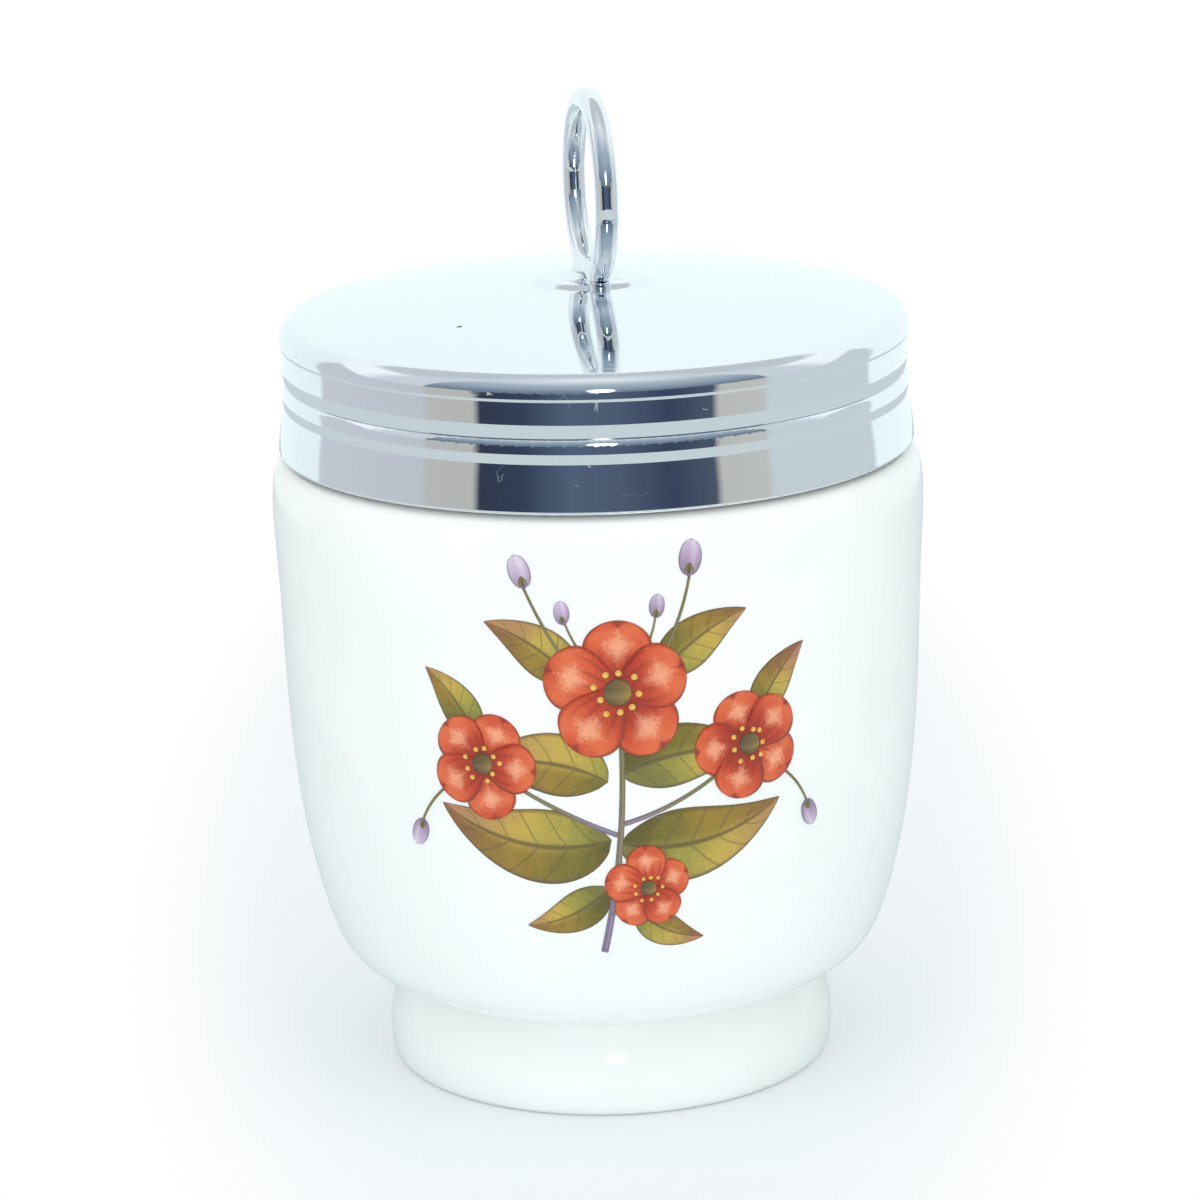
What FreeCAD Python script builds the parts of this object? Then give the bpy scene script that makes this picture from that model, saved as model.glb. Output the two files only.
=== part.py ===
import FreeCAD, Part
import math
import os
import Sketcher

# Single-egg coddler: a porcelain cup with a plated screw-on lid and a lifting ring.
# Millimetres, +Z up, origin on the table at the centre of the foot, decorated side at -Y.

doc = FreeCAD.newDocument("EggCoddler")

driving = {
    # cup: foot and bowl
    "foot_radius": 22.85,
    "foot_base_radius": 21.7,
    "foot_height": 9.6,
    "foot_widest_height": 3.4,
    "waist_radius": 20.6,
    "recess_radius": 18.6,
    "recess_depth": 5.2,
    "recess_draft": 0.7,
    "floor_height": 9.4,
    "floor_flat_radius": 13.0,
    "cup_wall": 3.4,
    # cup: shoulder, neck and rim
    "body_overhang": 0.9,
    "shoulder_height": 64.0,
    "shoulder_lip": 2.3,
    "neck_radius": 28.6,
    "neck_length": 11.85,
    "neck_wall": 3.2,
    "mouth_bevel": 1.5,
    "rim_round": 0.9,
    # screw thread, right-hand
    "thread_pitch": 4.0,
    "cup_thread_radius": 0.95,
    "cup_thread_height": 1.05,
    "cup_thread_turns": 1.3,
    "cup_thread_start": 3.4,
    "lid_thread_radius": 0.75,
    "lid_thread_turns": 1.05,
    "thread_gap": 0.24,
    "flank_gap": 0.15,
    "thread_fade": 42.0,
    "thread_bury": 0.1,
    # lid: sheet metal and its seams
    "sheet": 0.5,
    "press_gap": 0.03,
    "seat_gap": 0.05,
    "seam_gap": 0.1,
    # lid: cap, heights under the cup's rim and steps out from the cap's wall
    "cap_corner": 2.0,
    "cap_bead_out": 0.12,
    "cap_bead_drop": 0.2,
    "cap_bead_height": 0.25,
    "cap_wall_drop": 0.75,
    "cap_taper_drop": 2.95,
    "cap_taper_in": 0.28,
    "seam_drop": 4.3,
    "dome_bow": 150.0,
    "boss_rise": 0.6,
    "boss_flat_radius": 4.2,
    "boss_foot_radius": 7.5,
    # lid: lower band, heights under the seam and steps out from the cap's wall
    "band_bead_in": 0.02,
    "band_bead_drop": 1.5,
    "band_waist_in": 0.14,
    "band_waist_drop": 2.5,
    "skirt_out": 0.5,
    "skirt_gap": 0.25,
    "skirt_bow": 32.0,
    "skirt_hem": 0.35,
    "skirt_lip": 0.2,
    "sleeve_height": 2.8,
    # lid: threaded liner
    "liner_lip": 3.6,
    "liner_foot": 1.3,
    "liner_round": 0.35,
    # lifting ring
    "ring_outside": 20.0,
    "ring_wire": 2.4,
    "ring_sink": 1.4,
    "shank_tenon_radius": 1.05,
    "shank_tenon_rise": 0.72,
    "ring_turn": 10.4,
    "shank_radius": 1.5,
    "shank_fit": 0.05,
    "shank_head_radius": 2.6,
    "shank_head_flat": 1.56,
    "shank_head_height": 0.8,
    "washer_radius": 3.6,
    "washer_thickness": 0.5,
    "washer_gap": 0.05,
}

sheet = doc.addObject("Spreadsheet::Sheet", "dims")
for row, (alias, number) in enumerate(driving.items(), start=1):
    sheet.set(f"A{row}", alias)
    sheet.set(f"B{row}", str(number))
    sheet.setAlias(f"B{row}", alias)
doc.recompute()


class Size:
    # A length that carries its number and the sheet formula it comes from.
    def __init__(self, number, formula=None):
        self.number = float(number)
        self.formula = formula or repr(float(number))

    def join(self, other, sign, number):
        return Size(number, f"({self.formula} {sign} {other.formula})")

    def __add__(self, other):
        other = size(other)
        return self.join(other, "+", self.number + other.number)

    def __sub__(self, other):
        other = size(other)
        return self.join(other, "-", self.number - other.number)

    def __mul__(self, other):
        other = size(other)
        return self.join(other, "*", self.number * other.number)

    def __truediv__(self, other):
        other = size(other)
        return self.join(other, "/", self.number / other.number)

    __radd__ = __add__
    __rmul__ = __mul__


def size(value):
    return value if isinstance(value, Size) else Size(value)


def root(value):
    return Size(math.sqrt(value.number), f"sqrt({value.formula})")


s = {alias: Size(sheet.get(alias), f"dims.{alias}") for alias in driving}


# Outline steps. A step leaves the corner before it and ends at (r, z).
def line(r, z):
    return {"kind": "line", "end": (size(r), size(z))}


def arc(r, z, radius, side):
    # side +1 turns left along the outline, -1 turns right
    return {"kind": "arc", "end": (size(r), size(z)), "radius": size(radius), "side": side}


def curve(r, z, poles):
    # cubic B-spline; poles are the control points between the two ends
    return {"kind": "curve", "end": (size(r), size(z)),
            "poles": [(size(a), size(b)) for a, b in poles]}


def flat(point):
    return FreeCAD.Vector(point[0].number, point[1].number, 0)


def arcBetween(start, end, radius, side):
    chord = end - start
    half = chord.Length / 2
    across = FreeCAD.Vector(-chord.y, chord.x, 0).normalize()
    centre = (start + end) / 2 + across * side * math.sqrt(max(radius ** 2 - half ** 2, 0))
    middle = centre - across * side * radius
    return Part.Arc(start, middle, end)


def cubic(points):
    spans = len(points) - 3
    spline = Part.BSplineCurve()
    spline.buildFromPolesMultsKnots(points, [4] + [1] * (spans - 1) + [4],
                                    [i / spans for i in range(spans + 1)], False, 3)
    return spline


def bind(sketch, kind, geometry, point, length):
    index = sketch.addConstraint(
        Sketcher.Constraint(kind, -1, 1, geometry, point, length.number))
    sketch.setExpression(f"Constraints[{index}]", length.formula)


def originFeature(body, role):
    return next(item for item in body.Origin.OriginFeatures if item.Role == role)


def outline(body, name, start, steps):
    # closed outline on the body's XZ plane: sketch x is the radius, sketch y is the height
    sketch = body.newObject("Sketcher::SketchObject", name)
    sketch.AttachmentSupport = [(originFeature(body, "XZ_Plane"), "")]
    sketch.MapMode = "FlatFace"
    corners = [(size(start[0]), size(start[1]))] + [step["end"] for step in steps]
    ends = []
    for step, here, there in zip(steps, corners, corners[1:]):
        a, b = flat(here), flat(there)
        tail, tip = 1, 2
        if step["kind"] == "line":
            segment = sketch.addGeometry(Part.LineSegment(a, b), False)
        elif step["kind"] == "arc":
            shape = arcBetween(a, b, step["radius"].number, step["side"])
            segment = sketch.addGeometry(shape, False)
            if step["side"] < 0:
                tail, tip = 2, 1
            index = sketch.addConstraint(
                Sketcher.Constraint("Radius", segment, step["radius"].number))
            sketch.setExpression(f"Constraints[{index}]", step["radius"].formula)
        else:
            points = [a] + [flat(pole) for pole in step["poles"]] + [b]
            segment = sketch.addGeometry(cubic(points), False)
            sketch.exposeInternalGeometry(segment)
            for number, pole in enumerate(step["poles"], start=1):
                bind(sketch, "DistanceX", segment + 1 + number, 3, pole[0])
                bind(sketch, "DistanceY", segment + 1 + number, 3, pole[1])
        bind(sketch, "DistanceX", segment, tail, here[0])
        bind(sketch, "DistanceY", segment, tail, here[1])
        ends.append((segment, tail, tip))
    for here, there in zip(ends, ends[1:] + ends[:1]):
        sketch.addConstraint(
            Sketcher.Constraint("Coincident", here[0], here[2], there[0], there[1]))
    return sketch


def newBody(name):
    body = doc.addObject("PartDesign::Body", name + "Body")
    body.Label = name
    return body


def turned(name, start, steps):
    # a body of revolution about Z, from one closed outline
    body = newBody(name)
    sketch = outline(body, name + "Outline", start, steps)
    spin = body.newObject("PartDesign::Revolution", name + "Turn")
    spin.Profile = sketch
    spin.ReferenceAxis = (sketch, ["V_Axis"])
    spin.Angle = 360.0
    doc.recompute()
    return body


def rounded(body, name, radius, circles):
    # fillet the circular edges that lie at the given (radius, height) pairs
    near = 0.01
    base = body.Tip
    names = []
    for number, edge in enumerate(base.Shape.Edges, start=1):
        if not isinstance(edge.Curve, Part.Circle):
            continue
        for r, z in circles:
            sideways = abs(edge.Curve.Radius - r.number)
            upwards = abs(edge.Curve.Center.z - z.number)
            if max(sideways, upwards) < near:
                names.append(f"Edge{number}")
    if len(names) < len(circles):
        raise RuntimeError(f"{name}: found {len(names)} edges of {len(circles)}")
    fillet = body.newObject("PartDesign::Fillet", name)
    fillet.Base = (base, names)
    fillet.Radius = radius.number
    fillet.setExpression("Radius", radius.formula)
    doc.recompute()
    return fillet


def threadRib(name, section, centre, sink, start, turns, pitch, fade):
    # round rib along a helix; at both ends its centre line sinks into the wall by `sink`
    pointsPerTurn = 24
    volumeSlack = 0.02
    steps = max(int(turns * pointsPerTurn), pointsPerTurn // 2)
    points = []
    for i in range(steps + 1):
        angle = turns * 360.0 * i / steps
        nearEnd = min(angle, turns * 360.0 - angle)
        share = max(0.0, 1.0 - nearEnd / fade)
        radius = centre + sink * (3 * share ** 2 - 2 * share ** 3)
        height = start + pitch * angle / 360.0
        points.append(FreeCAD.Vector(radius * math.cos(math.radians(angle)),
                                     radius * math.sin(math.radians(angle)), height))
    path = Part.BSplineCurve()
    path.interpolate(points)
    heading = path.tangent(path.FirstParameter)[0]
    ring = Part.Wire([Part.Circle(points[0], heading, section).toShape()])
    rib = Part.Wire([path.toShape()]).makePipeShell([ring], True, False)
    ideal = math.pi * section ** 2 * path.length()
    if abs(rib.Volume - ideal) > volumeSlack * ideal:
        raise RuntimeError(f"{name}: rib volume {rib.Volume:.1f}, expected {ideal:.1f}")
    feature = doc.addObject("Part::Feature", name)
    feature.Shape = rib
    return feature


def fused(name, base, tool):
    joined = doc.addObject("Part::Fuse", name + "Solid")
    joined.Base = base
    joined.Tool = tool
    joined.Label = name
    doc.recompute()
    return joined


# Radii that several pieces share, from the cup's neck outwards
cupThreadCentre = s["neck_radius"] + s["cup_thread_height"] - s["cup_thread_radius"]
lidThreadCentre = s["neck_radius"] + s["thread_gap"] + s["lid_thread_radius"]
linerInside = s["neck_radius"] + s["cup_thread_height"] + s["thread_gap"]
linerOutside = linerInside + s["sheet"]
sleeveInside = linerOutside + s["press_gap"]
sleeveOutside = sleeveInside + s["sheet"]
capInside = sleeveOutside + s["press_gap"]
capOutside = capInside + s["sheet"]
beadRadius = capOutside + s["cap_bead_out"]
skirtRadius = capOutside + s["skirt_out"]
bodyRadius = skirtRadius + s["body_overhang"]

# Heights that several pieces share, from the cup's rim
rimHeight = s["shoulder_height"] + s["neck_length"]
linerFlange = rimHeight + s["seat_gap"]
beadHeight = rimHeight - s["cap_bead_drop"]
capWallTop = rimHeight - s["cap_wall_drop"]
seamHeight = rimHeight - s["seam_drop"]

# The dome springs tangent from the cap's rolled corner
cornerCentre = beadRadius - s["cap_corner"]
lean = cornerCentre / (s["dome_bow"] - s["cap_corner"])
domeEdge = s["dome_bow"] * lean
domeCentre = beadHeight - root((s["dome_bow"] - s["cap_corner"]) * (s["dome_bow"] - s["cap_corner"])
                               - cornerCentre * cornerCentre)


def domeAt(radius, drop):
    # height of the lid's dome at a radius, `drop` under its outer face
    radius = size(radius)
    bow = s["dome_bow"] - drop
    return domeCentre + root(bow * bow - radius * radius)


bossHeight = domeAt(0, 0) + s["boss_rise"]
bossUnder = bossHeight - s["sheet"]
ringMiddle = (s["ring_outside"] - s["ring_wire"]) / 2
ringCentre = bossHeight - s["ring_sink"] + s["ring_outside"] / 2


def makeCup():
    # one fired piece: foot, bowl, shoulder, neck and a raised porcelain thread
    rise = s["shoulder_height"] - s["foot_height"]
    # how far each outer control point stands in from the widest radius, and its share of the rise
    outer = [(6.37, 0.015), (3.84, 0.12), (1.56, 0.32), (0.54, 0.56), (0.47, 0.80), (-0.51, 0.985)]
    bowl = [(bodyRadius - inset, s["foot_height"] + rise * share) for inset, share in outer]
    # the foot swells and tucks in under the bowl: shares of its height, steps in from its radii
    swellShare, tuckShare = 0.68, 0.86
    baseEase, tuckEase = 0.25, 0.5
    inside = bodyRadius - s["cup_wall"]
    depth = s["shoulder_height"] - s["floor_height"]
    # the same for the inner wall, from the floor up to the mouth
    inner = [(1.2, 0.97), (0.2, 0.90), (0.3, 0.66), (0.7, 0.38), (2.6, 0.14), (6.6, 0.0)]
    cavity = [(inside - inset, s["floor_height"] + depth * share) for inset, share in inner]
    bore = s["neck_radius"] - s["neck_wall"]
    body = turned("cup_body", (0, s["recess_depth"]), [
        line(s["recess_radius"] - s["recess_draft"], s["recess_depth"]),
        line(s["recess_radius"], 0),
        line(s["foot_base_radius"], 0),
        curve(s["foot_radius"], s["foot_widest_height"],
              [(s["foot_radius"] - baseEase, 0), (s["foot_radius"], s["foot_widest_height"] / 3)]),
        curve(s["waist_radius"], s["foot_height"],
              [(s["foot_radius"], s["foot_height"] * swellShare),
               (s["waist_radius"] + tuckEase, s["foot_height"] * tuckShare)]),
        curve(s["neck_radius"] + s["shoulder_lip"], s["shoulder_height"], bowl),
        line(s["neck_radius"], s["shoulder_height"]),
        line(s["neck_radius"], rimHeight),
        line(bore, rimHeight),
        line(bore, s["shoulder_height"] + s["mouth_bevel"]),
        curve(s["floor_flat_radius"], s["floor_height"], cavity),
        line(0, s["floor_height"]),
        line(0, s["recess_depth"]),
    ])
    rounded(body, "RimRound", s["rim_round"], [(s["neck_radius"], rimHeight), (bore, rimHeight)])
    rounded(body, "NeckRoot", s["rim_round"], [(s["neck_radius"], s["shoulder_height"])])
    rounded(body, "FootInside", s["recess_draft"], [(s["recess_radius"], size(0))])
    buried = s["cup_thread_height"].number + s["thread_bury"].number
    rib = threadRib("CupThread", s["cup_thread_radius"].number, cupThreadCentre.number, -buried,
                    s["shoulder_height"].number + s["cup_thread_start"].number,
                    s["cup_thread_turns"].number, s["thread_pitch"].number, s["thread_fade"].number)
    return fused("cup", body, rib)


def makeCap():
    # drawn top of the lid: boss, dome, rolled corner, side wall and a coined lower lip
    shell = s["sheet"]
    hole = s["shank_radius"] + s["shank_fit"]
    foot = s["boss_foot_radius"]
    innerEdge = domeEdge - shell * lean
    # the boss runs on level, falls, and meets the dome softly
    levelRun, fall, toeRun, toeLift = 0.9, 0.25, 1.2, 0.02
    level = s["boss_flat_radius"] + levelRun
    middle = (s["boss_flat_radius"] + foot) / 2
    toe = foot - toeRun

    def bossPoles(down):
        return [(level, bossHeight - down),
                (middle, bossHeight - down - fall),
                (toe, domeAt(toe, down) + toeLift)]

    return turned("lid_cap", (hole, bossHeight), [
        line(s["boss_flat_radius"], bossHeight),
        curve(foot, domeAt(foot, 0), bossPoles(0)),
        arc(domeEdge, domeAt(domeEdge, 0), s["dome_bow"], -1),
        arc(beadRadius, beadHeight, s["cap_corner"], -1),
        line(beadRadius, beadHeight - s["cap_bead_height"]),
        line(capOutside, capWallTop),
        line(capOutside, rimHeight - s["cap_taper_drop"]),
        line(capOutside - s["cap_taper_in"], seamHeight),
        line(capInside, seamHeight),
        line(capInside, capWallTop),
        line(beadRadius - shell, beadHeight),
        arc(innerEdge, domeAt(innerEdge, shell), s["cap_corner"] - shell, 1),
        arc(foot, domeAt(foot, shell), s["dome_bow"] - shell, 1),
        curve(s["boss_flat_radius"], bossUnder, bossPoles(shell)[::-1]),
        line(hole, bossUnder),
        line(hole, bossHeight),
    ])


def makeSkirt():
    # lower band of the lid: a sleeve inside the cap, a rolled bead, a flared wall and a turned hem
    shell = s["sheet"]
    top = seamHeight - s["seam_gap"]
    high = top + s["sleeve_height"]
    low = s["shoulder_height"] + s["skirt_gap"]
    bead = capOutside - s["band_bead_in"]
    beadFoot = seamHeight - s["band_bead_drop"]
    waist = capOutside - s["band_waist_in"]
    waistHeight = seamHeight - s["band_waist_drop"]
    # control points that round the bead off above and ease it into the waist below
    beadTuck, beadRoll, beadFall, waistEase = 0.08, 0.12, 0.9, 0.25
    return turned("lid_skirt", (sleeveInside, high), [
        line(sleeveOutside, high),
        line(sleeveOutside, top),
        line(capInside + beadTuck, top),
        curve(bead, beadFoot,
              [(bead - beadTuck, top - beadRoll), (bead, top - beadFall)]),
        curve(waist, waistHeight,
              [(bead, beadFoot - waistEase), (waist, waistHeight + waistEase)]),
        arc(skirtRadius, low + s["skirt_hem"], s["skirt_bow"], -1),
        arc(skirtRadius - s["skirt_hem"], low, s["skirt_hem"], -1),
        line(skirtRadius - shell, low + s["skirt_lip"]),
        line(waist - shell, waistHeight),
        line(sleeveInside, beadFoot),
        line(sleeveInside, high),
    ])


def makeLiner():
    # inner ring of the lid: a flange that sits on the cup's rim and a wall with a rolled thread
    low = s["shoulder_height"] + s["liner_foot"]
    high = linerFlange + s["sheet"]
    body = turned("liner_body", (linerOutside, low), [
        line(linerOutside, high),
        line(linerInside - s["liner_lip"], high),
        line(linerInside - s["liner_lip"], linerFlange),
        line(linerInside, linerFlange),
        line(linerInside, low),
        line(linerOutside, low),
    ])
    rounded(body, "LinerShoulder", s["liner_round"], [(linerOutside, high)])
    apart = s["cup_thread_radius"].number + s["lid_thread_radius"].number + s["flank_gap"].number
    inset = lidThreadCentre.number - cupThreadCentre.number
    below = math.sqrt(apart ** 2 - inset ** 2)
    start = s["shoulder_height"].number + s["cup_thread_start"].number - below
    rib = threadRib("LidThread", s["lid_thread_radius"].number, lidThreadCentre.number,
                    0.0, start, s["lid_thread_turns"].number,
                    s["thread_pitch"].number, s["thread_fade"].number)
    return fused("thread_ring", body, rib)


def makeRing():
    # wire ring with its foot filed flat on the boss, and the shank that is headed over below it
    tube = s["ring_wire"] / 2
    loop = doc.addObject("Part::Torus", "RingLoop")
    loop.setExpression("Radius1", ringMiddle.formula)
    loop.setExpression("Radius2", tube.formula)
    loop.Placement = FreeCAD.Placement(
        FreeCAD.Vector(0, 0, ringCentre.number),
        FreeCAD.Rotation(FreeCAD.Vector(0, 0, 1), driving["ring_turn"])
        * FreeCAD.Rotation(FreeCAD.Vector(0, 1, 0), 90))
    loop.setExpression("Placement.Base.z", ringCentre.formula)
    below = doc.addObject("Part::Box", "BelowBoss")
    span = s["ring_outside"] * 2
    for side in ("Length", "Width", "Height"):
        below.setExpression(side, span.formula)
    for axis in "xy":
        below.setExpression(f"Placement.Base.{axis}", (span * -0.5).formula)
    below.setExpression("Placement.Base.z", (bossHeight - span).formula)
    filed = doc.addObject("Part::Cut", "FiledLoop")
    filed.Base = loop
    filed.Tool = below
    washerUnder = bossUnder - s["washer_gap"] - s["washer_thickness"] - s["washer_gap"]
    headUnder = washerUnder - s["shank_head_height"]
    tenonTop = bossHeight + s["shank_tenon_rise"]
    shank = turned("ring_shank", (0, tenonTop), [
        line(0, headUnder),
        line(s["shank_head_flat"], headUnder),
        curve(s["shank_head_radius"], washerUnder,
              [(s["shank_head_radius"], headUnder),
               (s["shank_head_radius"], (headUnder + washerUnder) / 2)]),
        line(s["shank_radius"], washerUnder),
        line(s["shank_radius"], bossHeight),
        line(s["shank_tenon_radius"], bossHeight),
        line(s["shank_tenon_radius"], tenonTop),
        line(0, tenonTop),
    ])
    return fused("lift_ring", filed, shank)


def makeWasher():
    # burr washer under the boss, held by the headed shank
    top = bossUnder - s["washer_gap"]
    hole = s["shank_radius"] + s["shank_fit"]
    return turned("burr_washer", (hole, top), [
        line(s["washer_radius"], top),
        line(s["washer_radius"], top - s["washer_thickness"]),
        line(hole, top - s["washer_thickness"]),
        line(hole, top),
    ])


pieces = [makeCup(), makeCap(), makeSkirt(), makeLiner(), makeRing(), makeWasher()]
doc.recompute()

for item in doc.Objects:
    if "Invalid" in item.State or "Error" in item.State:
        raise RuntimeError(f"{item.Label} is in state {item.State}")
for piece in pieces:
    shape = piece.Shape
    if shape.isNull() or not shape.isValid() or len(shape.Solids) != 1:
        raise RuntimeError(f"{piece.Label} has no single valid solid")

os.makedirs("parts", exist_ok=True)
for piece in pieces:
    piece.Shape.exportStep(os.path.join("parts", piece.Label + ".step"))
    print(piece.Label, "volume", round(piece.Shape.Volume, 1), "mm3")
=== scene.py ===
import math
import random

import bmesh
import bpy
from mathutils import Matrix, Vector, noise
from mathutils.bvhtree import BVHTree


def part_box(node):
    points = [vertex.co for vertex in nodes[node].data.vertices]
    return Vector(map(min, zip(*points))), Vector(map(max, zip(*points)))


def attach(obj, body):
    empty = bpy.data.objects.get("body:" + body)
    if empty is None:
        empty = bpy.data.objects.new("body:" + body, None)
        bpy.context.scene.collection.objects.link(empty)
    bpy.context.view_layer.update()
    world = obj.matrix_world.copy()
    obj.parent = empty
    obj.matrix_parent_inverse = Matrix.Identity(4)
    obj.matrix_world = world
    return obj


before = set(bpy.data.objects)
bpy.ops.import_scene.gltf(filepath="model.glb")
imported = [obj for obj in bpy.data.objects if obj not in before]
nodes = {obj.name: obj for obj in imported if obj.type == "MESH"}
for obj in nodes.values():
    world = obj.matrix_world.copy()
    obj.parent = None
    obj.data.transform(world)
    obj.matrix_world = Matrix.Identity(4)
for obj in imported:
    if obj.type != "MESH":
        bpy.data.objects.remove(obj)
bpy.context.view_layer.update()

mm = 0.001
scene = bpy.context.scene
scene.view_settings.view_transform = "Standard"
print("frame loaded:", ", ".join(sorted(nodes)))


def linear(hexText):  # sRGB hex to the linear colour that shaders want
    channels = [int(hexText[i:i + 2], 16) / 255 for i in (1, 3, 5)]
    return [c / 12.92 if c <= 0.04045 else ((c + 0.055) / 1.055) ** 2.4 for c in channels] + [1.0]


def addNode(tree, kind, settings=None, links=None):  # settings name sockets or properties
    node = tree.nodes.new(kind)
    for key, value in (settings or {}).items():
        if isinstance(key, int) or key in node.inputs:
            node.inputs[key].default_value = value
        else:
            setattr(node, key, value)
    for key, output in (links or {}).items():
        tree.links.new(output, node.inputs[key])
    return node


def fillRamp(ramp, stops):  # stops are (place, hex colour)
    elements = ramp.color_ramp.elements
    while len(elements) < len(stops):
        elements.new(1.0)
    for element, (place, colour) in zip(elements, stops):
        element.position = place
        element.color = linear(colour)
    return ramp


def newMaterial(name):
    material = bpy.data.materials.new(name)
    material.use_nodes = True
    tree = material.node_tree
    tree.nodes.clear()
    surface = addNode(tree, "ShaderNodeBsdfPrincipled")
    output = addNode(tree, "ShaderNodeOutputMaterial", links={"Surface": surface.outputs[0]})
    return material, tree, surface, output


def newPiece(name):
    mesh = bpy.data.meshes.new(name)
    piece = bpy.data.objects.new(name, mesh)
    scene.collection.objects.link(piece)
    return piece


def fillMesh(piece, build, material):  # the built faces become the piece's smooth mesh
    build.to_mesh(piece.data)
    build.free()
    for polygon in piece.data.polygons:
        polygon.use_smooth = len(polygon.vertices) <= 4
    piece.data.materials.append(material)


def noiseAt(tree, place, size, detail, extra=None):  # size is that of one lump
    settings = {"Scale": 1 / size, "Detail": detail}
    settings.update(extra or {})
    return addNode(tree, "ShaderNodeTexNoise", settings, {"Vector": place}).outputs[0]


def opposite(tree, value):  # 1 becomes 0 and 0 becomes 1
    return calc(tree, "SUBTRACT", 1.0, value)


def mixColour(tree, blend, factor, a, b):  # a and b are outputs, hex colours or linear channels
    node = addNode(tree, "ShaderNodeMix", {"data_type": "RGBA", "blend_type": blend})
    for socket, value in ((node.inputs[0], factor), (node.inputs[6], a), (node.inputs[7], b)):
        if isinstance(value, str):
            socket.default_value = linear(value)
        elif isinstance(value, (int, float, list)):
            socket.default_value = value
        else:
            tree.links.new(value, socket)
    return node.outputs[2]


def calc(tree, operation, a, b=None, c=None):  # one Math node
    node = addNode(tree, "ShaderNodeMath", {"operation": operation})
    for index, value in enumerate((a, b, c)):
        if value is None:
            continue
        if isinstance(value, (int, float)):
            node.inputs[index].default_value = value
        else:
            tree.links.new(value, node.inputs[index])
    return node.outputs[0]


def between(tree, value, low, high):  # 0 below low, 1 above high, smooth between
    node = addNode(tree, "ShaderNodeMapRange",
                   {"interpolation_type": "SMOOTHSTEP", 1: low, 2: high, 3: 0.0, 4: 1.0})
    tree.links.new(value, node.inputs[0])
    return node.outputs[0]


# Porcelain under clear glaze: white, faintly cool, a deep even gloss with a slow ripple
porcelain = {
    "body": "#f4f8f6",
    "thick": "#f0f6f3",      # where the glaze lies a little thicker
    "biscuit": "#e4dfd2",    # bare ring that the cup stood on in the kiln
    "roughness": 0.11,
    "ior": 1.52,
    "rippleSize": 14 * mm,
    "rippleHeight": 0.012 * mm,
    "rippleStrength": 0.6,
    "thickRange": (0.35, 0.7),       # part of the ripple that the thicker glaze takes
    "grainSize": 1.2 * mm,
    "grainRoughness": 0.03,
    "biscuitHeight": (0.075 * mm, 0.25 * mm),  # all bare below, all glazed above
    "biscuitRoughness": 0.6,
    "translucency": 0.12,
    "bleed": (1.0, 0.9, 0.8),        # how far red, green and blue go, as shares of the depth
    "bleedDepth": 1.5 * mm,
}


def glazedPorcelain():
    settings = porcelain
    material, tree, surface, output = newMaterial("glazedPorcelain")
    place = addNode(tree, "ShaderNodeTexCoord").outputs["Object"]
    ripple = noiseAt(tree, place, settings["rippleSize"], 2.0)
    grain = noiseAt(tree, place, settings["grainSize"], 2.0)
    height = addNode(tree, "ShaderNodeSeparateXYZ", links={0: place}).outputs[2]
    glaze = mixColour(tree, "MIX", between(tree, ripple, *settings["thickRange"]),
                      settings["body"], settings["thick"])
    bare = opposite(tree, between(tree, height, *settings["biscuitHeight"]))
    tree.links.new(mixColour(tree, "MIX", bare, glaze, settings["biscuit"]), surface.inputs["Base Color"])
    gloss = calc(tree, "MULTIPLY_ADD", bare, settings["biscuitRoughness"], settings["roughness"])
    gloss = calc(tree, "MULTIPLY_ADD", grain, settings["grainRoughness"], gloss)
    tree.links.new(gloss, surface.inputs["Roughness"])
    surface.inputs["IOR"].default_value = settings["ior"]
    surface.inputs["Subsurface Weight"].default_value = settings["translucency"]
    surface.inputs["Subsurface Radius"].default_value = settings["bleed"]
    surface.inputs["Subsurface Scale"].default_value = settings["bleedDepth"]
    bump = addNode(tree, "ShaderNodeBump",
                   {"Distance": settings["rippleHeight"], "Strength": settings["rippleStrength"]},
                   {"Height": ripple})
    tree.links.new(bump.outputs[0], surface.inputs["Normal"])
    return material


# Chromium plate on polished brass: mirror bright, faint buffing waves and hairline scratches
chrome = {
    "plate": "#eef2f5",
    "worn": "#c9ced3",
    "scratch": "#f8fbfd",
    "speck": "#4d5257",
    "roughness": 0.03,
    "waveSize": 6 * mm,
    "waveHeight": 0.004 * mm,
    "waveStrength": 0.5,
    "hazeSize": 14 * mm,
    "hazeRange": (0.45, 0.75),
    "hazeGrain": 0.7,
    "hazeRoughness": 0.03,
    "pitSize": 0.45 * mm,
    "pitShare": 0.07,            # a pit's radius as a share of its cell
    "pitHaze": (0.56, 0.68),     # pits come where the haze is thick
    "scratchSpread": 11 * mm,    # how far apart the hairlines lie
    "scratchWander": 1.5,
    "scratchWidth": 0.0012,
    "scratchPatch": 4 * mm,
    "scratchLevel": 0.65,        # hairlines show only in patches above this level
    "markRoughness": 0.25,
    "dentSize": 1.1 * mm,
    "dentGrain": 0.6,
    "speckPlace": (-13.0 * mm, -15.2 * mm, 0.0),
    "speckSize": 0.28 * mm,
}


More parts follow.
